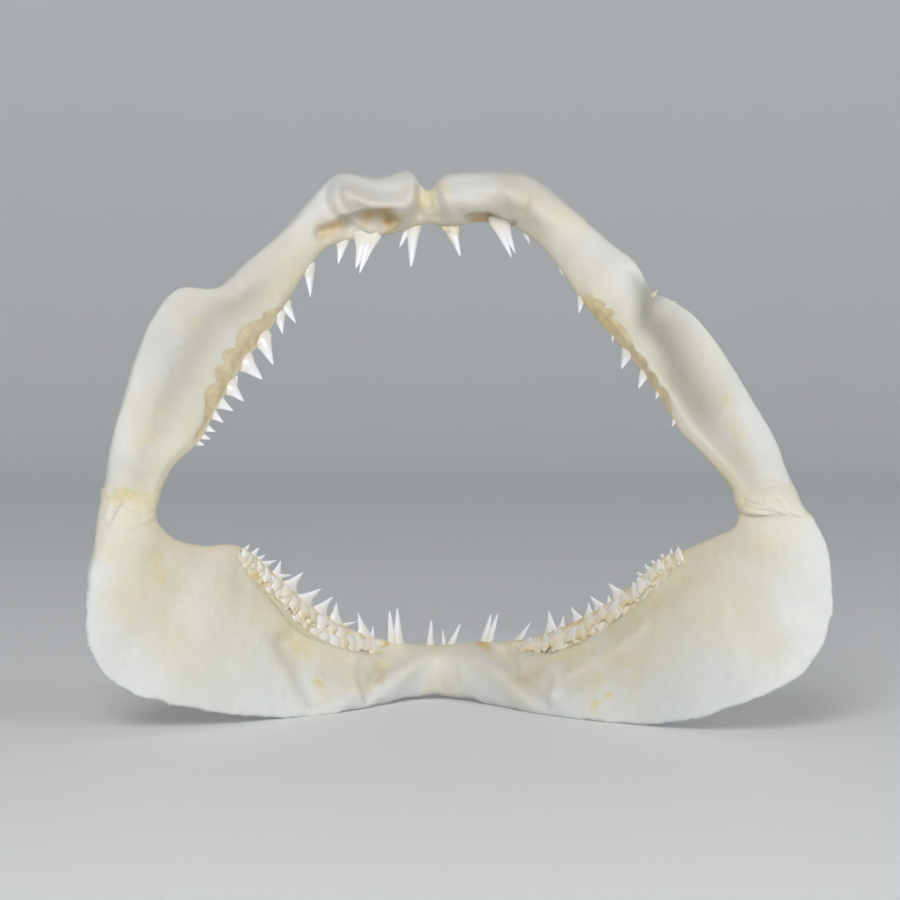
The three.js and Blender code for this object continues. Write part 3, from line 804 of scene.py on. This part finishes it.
def base_rings(base, upright, direction, along_rim, widthways, length, width, thickness, flare, top, power):
    """Rings of tooth bases: they stand square to the rim below it and lean over into the crown above it.

    The size is just under the crown's own and gains flare times the square of the way left to the top.
    """
    v = np.linspace(0, 1, BASE_ROWS)[None, :]
    height = -BASE_DEPTH + v * (BASE_DEPTH + top * length)[:, None]
    t = np.maximum(height, 0) / length[:, None]
    spread = flare[:, None] * (1 - v) ** 2
    size = 0.95 * crown_size(t, power[:, None])
    lean = np.where(height[..., None] > 0, direction[:, None], upright[:, None])
    centre = base[:, None] + lean * height[..., None]
    sideways = unit(along_rim[:, None] * (1 - v[..., None]) + widthways[:, None] * v[..., None])
    thickways = unit(np.cross(direction, widthways))[:, None]
    angle = circle(BASE_AROUND)
    wide = 0.5 * (width[:, None] * (size + spread))[..., None] * np.cos(angle)
    deep = 0.5 * (thickness[:, None] * (size + 0.7 * spread))[..., None] * np.sin(angle)
    return (centre[:, :, None] + sideways[:, :, None] * wide[..., None]
            + thickways[:, :, None] * deep[..., None])


def rim_teeth(half):
    """Teeth on the rim, pointing into the gape, each with a broad base that runs into the gum."""
    s, crown, lean = np.array(TEETH[half], float).T
    inner, across, forward, throat = section(half, s * LAST[half])
    upright = unit(-across * np.array([1, 0, 1]))
    direction = turned(upright, lean)
    direction[:, 1] = chance.uniform(-0.2, -0.1, len(s))
    direction = unit(direction)
    base = inner - TOOTH_SINK * direction + throat * keyed(TOOTH_SHIFT[half[0]], s)[:, None]
    widthways = square_to(direction, forward)
    width = LEAST_WIDTH + crown * keyed(TOOTH_BREADTH[half[0]], s) * chance.uniform(0.9, 1.1, len(s))
    share = np.where(s > FRONT, FRONT_THICKNESS_SHARE, THICKNESS_SHARE)
    thickness = np.maximum(share * width, LEAST_THICKNESS)
    power = np.where(s > FRONT, FRONT_POWER, CROWN_POWER)
    length = crown + ADDED_LENGTH
    rings, tips, t = tooth_rings(base, direction, widthways, length, width, thickness,
                                 BOW * crown, ROOT_DEPTH, 0, power)
    piece = tubes_mesh("teeth_" + "_".join(half), rings, tips, {"crown": 0.5 + 0.5 * t})
    # The front tooth of the upper right half still stands in a collar of gum
    in_gum = (half == UPPER_RIGHT) & (s > 0.9)
    flare = np.where(in_gum, 1.1, keyed(BASE_FLARE[half[0]], s))
    top = np.where(in_gum, 0.6, 0.5)
    foot = base_rings(base, upright, direction, forward, widthways,
                      length, width, thickness, flare, top, power)
    foot = foot + np.where(in_gum, 0.5, 0.1)[:, None, None, None] * unevenness(foot, 1.6, 45)[..., None]
    shade = np.where(in_gum, 0.12, 0.3)[:, None, None] + 0.25 * np.linspace(0, 1, BASE_ROWS)[:, None]
    skirt = tubes_mesh("tooth_bases_" + "_".join(half), foot, values={"crown": shade})
    return piece, skirt


rim_pieces = [rim_teeth(half) for half in HALVES]
teeth = [piece for piece, _ in rim_pieces]
tooth_bases = [skirt for _, skirt in rim_pieces]

# %% [markdown]
# Replacement teeth
# Behind the working row a shark keeps the next ones, lying flat against the inside of the lower rim.
# They are the same tooth laid down, in rows that overlap like shingles, with the two-lobed roots in sight.

# %% Replacement teeth of the lower halves
SPARE_FILES = 16
SPARE_SPAN = (0.395, 0.82)
SPARE_ROWS = {"left": 3, "right": 2}
SPARE_TWIST = {"left": (-1.5, -0.2), "right": (-1.0, 0.1)}
ROW_STEP = {"left": [(0, 1.2), (1, 2.6)], "right": [(0, 1.0), (1, 1.5)]}
SPARE_LENGTH = [(0, 2.6), (0.5, 4.8), (0.8, 5.6), (1, 4.0)]
SPARE_WIDTH = [(0, 3.8), (0.5, 7.2), (1, 8.2)]
SPARE_START = 0.7
SPARE_THICKNESS_SHARE = 0.26


def spare_teeth(side):
    """Rows of flat-lying teeth, each sitting on the bar's inside face and pointing at the rim.

    The deeper a row lies, the sooner it ends on the way to the chin.
    """
    half = ("lower", side)
    last = LAST[half]
    grid = np.meshgrid(np.arange(SPARE_ROWS[side]), np.arange(SPARE_FILES), indexing="ij")
    row, file = (numbers.ravel() for numbers in grid)
    part = (file + 0.5 + 0.3 * row) / SPARE_FILES + chance.uniform(-0.015, 0.015, len(file))
    there = part < 1 - 0.14 * row
    row, part = row[there], part[there]
    s = SPARE_SPAN[0] + (SPARE_SPAN[1] - SPARE_SPAN[0]) * part
    _, across, forward, throat = section(half, s * last)
    span = np.linalg.norm(across, axis=-1)
    length = keyed(SPARE_LENGTH, part) * chance.uniform(0.8, 1.2, len(s))
    reach = length + SPARE_START + row * keyed(ROW_STEP[side], part)
    foot = bar(half, s * last, np.arccos(1 - 2 * np.clip(reach / span, 0.02, 0.6)))
    twist = chance.uniform(*SPARE_TWIST[side], len(s))[:, None]
    direction = unit(unit(-across) + 0.03 * throat + forward * twist)
    base = foot + throat * (0.75 - 0.3 * row)[:, None]
    width = keyed(SPARE_WIDTH, part) * chance.uniform(0.8, 1.2, len(s))
    rings, tips, t = tooth_rings(base, direction, square_to(direction, forward), length, width,
                                 SPARE_THICKNESS_SHARE * width, 0.3, 0.75 * length, 0.3 * length)
    shade = 0.38 + 0.22 * t + chance.uniform(-0.12, 0.08, len(s))[:, None, None]
    return tubes_mesh("spare_teeth_" + side, rings, tips, {"crown": np.clip(shade, 0, 1)})


spares = [spare_teeth(side) for side in ("left", "right")]

# %% [markdown]
# Dried gum
# Gum dries to thin tan skin. Along the upper rims it is sunk in the cartilage and already part of the bars.
# Along the lower rims it is a bed under the replacement teeth: the bar's own surface lifted by under 1 mm.
# At the border the bed sinks below the bar, so the border comes out ragged, as dried skin does.

# %% Beds that lie on the lower bars
BED_SPAN = (0.38, 0.87)
BED_BORDER = [(0.38, 0.08), (0.5, 0.15), (0.7, 0.22), (0.8, 0.17), (0.87, 0.04)]
BED_LIFT, BED_SINK, BED_DEPTH = 0.7, 0.8, 1.6
BED_ROWS, BED_CELLS = 260, 26
BORDER_SCALE = 260


def gum_bed(side, seed):
    """Skin on the throat side from the rim to a ragged border: lifted inside the border, sunk outside it."""
    half = ("lower", side)
    last = LAST[half]
    s = np.linspace(*BED_SPAN, BED_ROWS)[:, None]
    ragged = unevenness(np.concatenate([s * BORDER_SCALE, s * 0, s * 0], 1), 3, seed)[:, None]
    border = keyed(BED_BORDER, s) + 0.015 * ragged
    q = np.linspace(0.003, 1.4, BED_CELLS)[None, :] * border
    angle = np.arccos(1 - 2 * np.clip(q, 0, 1))
    skin = bar(half, s * last, angle)
    _, _, _, throat = section(half, np.broadcast_to(s * last, angle.shape))
    fade = np.clip(np.minimum(s - BED_SPAN[0], BED_SPAN[1] - s) / 0.04, 0, 1)
    inside = np.clip((border - q) / (0.2 * border), -1, 1)
    rough = unevenness(skin, 2.4, seed + 1)
    shown = fade * np.clip(inside + 0.5, 0, 1)
    height = BED_LIFT * shown * (0.8 + 0.4 * rough) - BED_SINK * (1 - shown)
    top = skin + throat * height[..., None]
    under = skin - throat * BED_DEPTH
    rings = np.concatenate([top, under[:, ::-1]], 1)
    return tubes_mesh("gum_lower_" + side, rings[None])


gums = [gum_bed("left", 13), gum_bed("right", 14)]

# %% [markdown]
# Ligaments at the joints and the midline
# Dried ligament wraps each joint and bridges the halves at the midline, so no gap shows on the real jaw.
# A sleeve follows the last rings of one bar and the first of the next, a little proud of both,
# and sinks into the cartilage at its two ends.

# %% Sleeves from bar to bar, with skin folds: height, width and points (x, z)
SMOOTHING_PASSES = 45
SLEEVE_SINK = 0.5
SKIN_FOLDS = {
    "joint_left": [
        (-0.9, 1.2, [(-123, 93), (-121, 89), (-123, 83)]),
        (-0.6, 1.1, [(-121, 89), (-115, 86), (-109, 84.5)]),
        (0.4, 1.4, [(-119, 93), (-114, 91), (-111, 91.5)]),
    ],
    "joint_right": [
        (-1.1, 1.3, [(119, 89), (127, 85.5), (134, 82.5), (138, 80.5)]),
        (0.5, 1.6, [(120, 86), (128, 82.5), (134, 79.5)]),
        (-0.6, 1.2, [(132, 90), (135, 85), (138, 81)]),
    ],
    "upper_midline": [],
    "lower_midline": [],
}


def outward(rings):
    """Normals of a tube: the cross product of its two grid directions, turned away from its middle."""
    along = np.gradient(rings, axis=0)
    around = np.roll(rings, -1, 1) - np.roll(rings, 1, 1)
    normal = unit(np.cross(along, around))
    turn = np.sum(normal * (rings - rings.mean(1, keepdims=True)))
    return normal if turn > 0 else -normal


def sleeve(name, rows, lift, wrinkle, seed):
    """Skin over the meeting of two bars: rings of the first, then of the second, smoothed along the lines.

    rows is how many rings it takes from each bar; the lift follows sin and sinks at both ends.
    Folds are bell curves of the distance to a line, on the throat side.
    """
    first, second = MEETINGS[name]
    at_joint = first[0] != second[0]
    grids = [surfaces[half] if at_joint else surfaces[half][::-1] for half in (first, second)]
    rings = np.concatenate([grids[0][:rows[0]][::-1], grids[1][:rows[1]]])
    for _ in range(SMOOTHING_PASSES):
        rings[1:-1] = 0.5 * rings[1:-1] + 0.25 * (rings[2:] + rings[:-2])
    v = np.linspace(0, 1, len(rings))[:, None]
    swell = np.sin(np.pi * v) ** 0.6
    folded = unevenness(rings * np.array([1, 1, 0.45]), 2.6, seed) + 0.5 * unevenness(rings, 1.4, seed + 1)
    height = lift * swell + wrinkle * folded * swell - SLEEVE_SINK * (1 - swell)
    for rise, width, line in SKIN_FOLDS[name]:
        distance = from_line(rings[..., 0], rings[..., 2], line)[0]
        height = height + rise * swell * bump(distance, 0, width) * THROAT_SIDE
    rings = rings + outward(rings) * height[..., None]
    rings[..., 2] = np.maximum(rings[..., 2], 0)
    return tubes_mesh(name, rings[None], values=tones(rings, AROUND_SHARE, 1, 0.2))


sleeves = [
    sleeve("joint_left", (34, 24), 0.9, 0.3, 31),
    sleeve("joint_right", (34, 32), 0.9, 0.3, 33),
    sleeve("upper_midline", (15, 15), 0.4, 0.25, 35),
    sleeve("lower_midline", (26, 24), 0.3, 0.15, 37),
]

# %% [markdown]
# Tatters of dried skin
# Here and there a scrap of skin was left when the jaw was cleaned, and it dried into a curled flake.
# A flake is the same tapering tube as a tooth, only wide and thin, so the tooth formula makes these too.

# %% Flakes along the edges: half, place along it, share across, length and lean in degrees
FLAKES = [
    (UPPER_LEFT, 0.045, 1.0, 2.6, 50), (UPPER_LEFT, 0.06, 1.0, 1.8, 10),
    (UPPER_LEFT, 0.52, 0.25, 1.6, 200), (UPPER_RIGHT, 0.49, 1.0, 2.4, -20),
    (UPPER_RIGHT, 0.42, 1.0, 1.6, 25),
    (UPPER_RIGHT, 0.03, 0.98, 2.4, -40), (LOWER_RIGHT, 0.05, 0.02, 2.4, 30),
    (LOWER_RIGHT, 0.12, 0.02, 2.0, -30), (LOWER_LEFT, 0.2, 1.0, 1.4, 20),
    (LOWER_LEFT, 0.4, 1.0, 1.6, -30), (LOWER_LEFT, 0.84, 1.0, 2.2, 25),
    (LOWER_LEFT, 0.8, 1.0, 1.8, -20), (LOWER_RIGHT, 0.7, 1.0, 3.0, 60),
]
FLAKE_THICKNESS, FLAKE_ROOT = 0.7, 1.5


def flakes():
    """Flat tapering scraps that grow out of the inner or outer edge and curl towards the throat."""
    halves, *numbers = zip(*FLAKES)
    s, q, length, lean = np.array(numbers)
    parts = [section(half, np.array([place * LAST[half]])) for half, place in zip(halves, s)]
    inner, across, forward, throat = (np.concatenate(columns) for columns in zip(*parts))
    outwards = unit(across * np.array([1, 0, 1])) * np.where(q < 0.5, -1, 1)[:, None]
    direction = unit(turned(outwards, lean) - np.array([0, 0.35, 0]))
    base = inner + across * q[:, None] - 0.4 * direction
    base[:, 2] = np.maximum(base[:, 2], 1.5)
    wide = length * chance.uniform(0.9, 1.5, len(s))
    rings, tips, _ = tooth_rings(base, direction, square_to(direction, forward), length, wide,
                                 FLAKE_THICKNESS, 0.5 * length, FLAKE_ROOT, 0)
    rings = rings + 0.35 * unevenness(rings, 1.2, 51)[..., None] * throat[:, None, None]
    rings[..., 2] = np.maximum(rings[..., 2], 0.05)
    tips[:, 2] = np.maximum(tips[:, 2], 0.05)
    return tubes_mesh("skin_flakes", rings, tips, {"warm": 0.8})


scraps = flakes()

# %% [markdown]
# Finishes
# Cartilage is satin ivory with slow mottling and fine grain, teeth are glossy and whiter, gum is tan.
# All colours come from noise on Object coordinates, in metres, and from the values kept on the meshes.

# %% Node helpers
def finish(name):
    """New node material: returns it with its node tree and its shader."""
    material = bpy.data.materials.new(name)
    material.use_nodes = True
    return material, material.node_tree, material.node_tree.nodes["Principled BSDF"]


def feed(tree, socket, value):
    """Link from another node's output, or a fixed value; a tuple is a colour and gets its fourth number."""
    if isinstance(value, bpy.types.NodeSocket):
        tree.links.new(value, socket)
    else:
        socket.default_value = (*value, 1) if isinstance(value, tuple) else value


def fill(tree, made, **inputs):
    """Feed the inputs of a node, named with underscores for spaces."""
    for label, value in inputs.items():
        feed(tree, made.inputs[label.replace("_", " ")], value)
    return made


def node(tree, kind, **inputs):
    """New node with its inputs fed."""
    return fill(tree, tree.nodes.new(kind), **inputs)


def grain(tree, scale, detail):
    """Noise on Object coordinates."""
    place = node(tree, "ShaderNodeTexCoord").outputs["Object"]
    return node(tree, "ShaderNodeTexNoise", Vector=place, Scale=scale, Detail=detail).outputs["Fac"]


def ramp(tree, value, stops):
    """Colour ramp through (place, colour) stops."""
    made = node(tree, "ShaderNodeValToRGB", Fac=value)
    points = made.color_ramp.elements
    while len(points) < len(stops):
        points.new(0.5)
    for point, (place, colour) in zip(points, stops):
        point.position = place
        point.color = (*colour, 1)
    return made.outputs["Color"]


def mixed(tree, share, a, b):
    """Colour a with a share of colour b."""
    made = tree.nodes.new("ShaderNodeMix")
    made.data_type = "RGBA"
    for place, value in ((0, share), (6, a), (7, b)):
        feed(tree, made.inputs[place], value)
    return made.outputs[2]


def value_of(tree, label):
    """A value kept on the mesh."""
    made = tree.nodes.new("ShaderNodeAttribute")
    made.attribute_name = label
    return made.outputs["Fac"]


def maths(tree, operation, a, b):
    """One sum or product of two numbers or sockets, kept between 0 and 1."""
    made = tree.nodes.new("ShaderNodeMath")
    made.operation = operation
    made.use_clamp = True
    for socket, value in zip(made.inputs, (a, b)):
        feed(tree, socket, value)
    return made.outputs[0]


def pitted(tree, shader, strength, distance, scale, detail):
    """Fine bumps from noise, distance in metres."""
    height = grain(tree, scale, detail)
    bumps = node(tree, "ShaderNodeBump", Strength=strength, Distance=distance, Height=height)
    fill(tree, shader, Normal=bumps.outputs["Normal"])


# %% Cartilage
def cartilage_finish():
    """Mottled ivory, then chalky, warm, grey painted shade and gum zones, then amber stains with some painted
    shade, painted shade in the cheek trough and brown hollows.
    """
    material, tree, shader = finish("dried_cartilage")
    colour = ramp(tree, grain(tree, 30, 5),
                  [(0.32, (0.71, 0.66, 0.50)), (0.5, (0.74, 0.71, 0.61)), (0.66, (0.75, 0.74, 0.70))])
    skin = ramp(tree, grain(tree, 220, 5), [(0.35, (0.52, 0.41, 0.22)), (0.65, (0.66, 0.56, 0.36))])
    layers = (
        ("chalk", 0.8, (0.71, 0.73, 0.76)),
        ("warm", 0.8, (0.70, 0.65, 0.46)),
        # grey: painted shade on the upper bars.
        ("grey", 1.0, (0.52, 0.51, 0.51)),
        ("rim", 0.3, (0.68, 0.55, 0.33)),
        ("gum", 0.85, skin),
    )
    for label, share, tint in layers:
        colour = mixed(tree, maths(tree, "MULTIPLY", value_of(tree, label), share), colour, tint)
    blotch = ramp(tree, grain(tree, 170, 4), [(0.35, (0.35, 0.35, 0.35)), (0.62, (1, 1, 1))])
    # Amber stains, and in a few spots painted shade.
    stain_and_shade = maths(tree, "MULTIPLY", value_of(tree, "stain_and_shade"), blotch)
    colour = mixed(tree, stain_and_shade, colour, (0.72, 0.60, 0.25))
    # Painted shade along the cheek trough.
    colour = mixed(tree, value_of(tree, "trough"), colour, (0.38, 0.37, 0.31))
    deep = maths(tree, "MULTIPLY", value_of(tree, "hollow"), maths(tree, "ADD", blotch, 0.3))
    colour = mixed(tree, deep, colour, (0.58, 0.41, 0.18))
    sheen = ramp(tree, grain(tree, 90, 3), [(0.3, (0.46, 0.46, 0.46)), (0.7, (0.66, 0.66, 0.66))])
    fill(tree, shader, Base_Color=colour, Roughness=sheen, Subsurface_Weight=0.1,
         Subsurface_Radius=[1.0, 0.6, 0.35], Subsurface_Scale=0.002)
    pitted(tree, shader, 0.25, 0.0004, 500, 7)
    return material


# %% Teeth and gum
def tooth_finish():
    """Glossy enamel over a bone-coloured root."""
    material, tree, shader = finish("tooth_enamel")
    colour = ramp(tree, value_of(tree, "crown"),
                  [(0.05, (0.70, 0.54, 0.28)), (0.25, (0.80, 0.73, 0.58)),
                   (0.5, (0.83, 0.82, 0.80)), (0.8, (0.85, 0.86, 0.90))])
    fill(tree, shader, Base_Color=colour, Roughness=0.2, Coat_Weight=0.3, Coat_Roughness=0.1)
    pitted(tree, shader, 0.08, 0.0003, 500, 3)
    return material


def gum_finish():
    """Waxy skin: tan in patches over cream."""
    material, tree, shader = finish("dried_gum")
    patch = ramp(tree, grain(tree, 150, 5), [(0.38, (0.9, 0.9, 0.9)), (0.6, (0.15, 0.15, 0.15))])
    colour = mixed(tree, patch, (0.80, 0.76, 0.64), (0.70, 0.54, 0.28))
    fill(tree, shader, Base_Color=colour, Roughness=0.45)
    pitted(tree, shader, 0.35, 0.0005, 420, 5)
    return material


dressed = (
    (list(bars.values()) + sleeves + [scraps], cartilage_finish()),
    (teeth + tooth_bases + spares, tooth_finish()),
    (gums, gum_finish()),
)
for pieces, material in dressed:
    for piece in pieces:
        piece.data.materials.append(material)
print("finishes:", [material.name for _, material in dressed])

# %% [markdown]
# Table, light and camera
# The jaw stands on a pale table that curves up all round, so every view has a plain ground.
# One large soft lamp above the viewer gives the even light, and a weaker one on the right opens the shadows.

# %% Table
TABLE_RADIUS = 2.0
TABLE_RISE = 0.6
TABLE_WALL = 3.0
TABLE_AROUND = 96


def table():
    """Flat disc that curves up all round into a wall: a profile of radius and height, turned about Z."""
    turn = np.linspace(0, np.pi / 2, 17)
    radius = np.concatenate([[0.02], TABLE_RADIUS + TABLE_RISE * np.sin(turn), [TABLE_RADIUS + TABLE_RISE]])
    height = np.concatenate([[0], TABLE_RISE * (1 - np.cos(turn)), [TABLE_WALL]])
    angle = circle(TABLE_AROUND)
    x, y = radius[:, None] * np.cos(angle), radius[:, None] * np.sin(angle)
    grid = np.stack([x, y, np.broadcast_to(height[:, None], x.shape)], -1).reshape(-1, 3)
    quads, _ = tube_faces(len(radius), TABLE_AROUND)
    mesh = bpy.data.meshes.new("table")
    mesh.from_pydata(grid.tolist(), [], quads[:, ::-1].tolist() + [list(range(TABLE_AROUND))])
    mesh.shade_smooth()
    placed("table", mesh)
    material, tree, shader = finish("pale_table")
    fill(tree, shader, Base_Color=(0.90, 0.91, 0.92), Roughness=0.6)
    mesh.materials.append(material)


table()

# %% Lamps: name, place and size in metres, power in watts
LAMPS = [("soft_above", (-0.3, -1.65, 0.95), 0.7, 17), ("soft_right", (1.3, -1.2, 0.6), 0.7, 8)]
LAMP_AIM = (0, 0, 0.1)
ROOM_COLOUR = (0.96, 0.98, 1)
ROOM_LIGHT = 0.22


def lamp(name, place, size, power):
    """Square soft lamp that looks from its place at the jaw."""
    data = bpy.data.lights.new(name, "AREA")
    data.size = size
    data.energy = power
    piece = placed(name, data)
    piece.location = place
    towards = Vector(LAMP_AIM) - Vector(place)
    piece.rotation_euler = towards.to_track_quat("-Z", "Y").to_euler()


for values in LAMPS:
    lamp(*values)
world = bpy.data.worlds.new("room")
world.use_nodes = True
background = world.node_tree.nodes["Background"]
fill(world.node_tree, background, Color=ROOM_COLOUR, Strength=ROOM_LIGHT)
bpy.context.scene.world = world
bpy.context.scene.view_settings.view_transform = "Standard"

# %% Camera at the photograph's viewing angle
LOOK_AT = np.array([-0.0036, -0.0171, 0.1075])
DISTANCE = 1.05
TILT = np.radians(2.0)
LENS, SENSOR = 106.32, 36
view = bpy.data.cameras.new("view")
view.lens = LENS
view.sensor_width = SENSOR
camera = placed("view", view)
camera.location = LOOK_AT - DISTANCE * np.array([0, np.cos(TILT), -np.sin(TILT)])
camera.rotation_euler = (np.pi / 2 - TILT, 0, 0)
bpy.context.scene.camera = camera
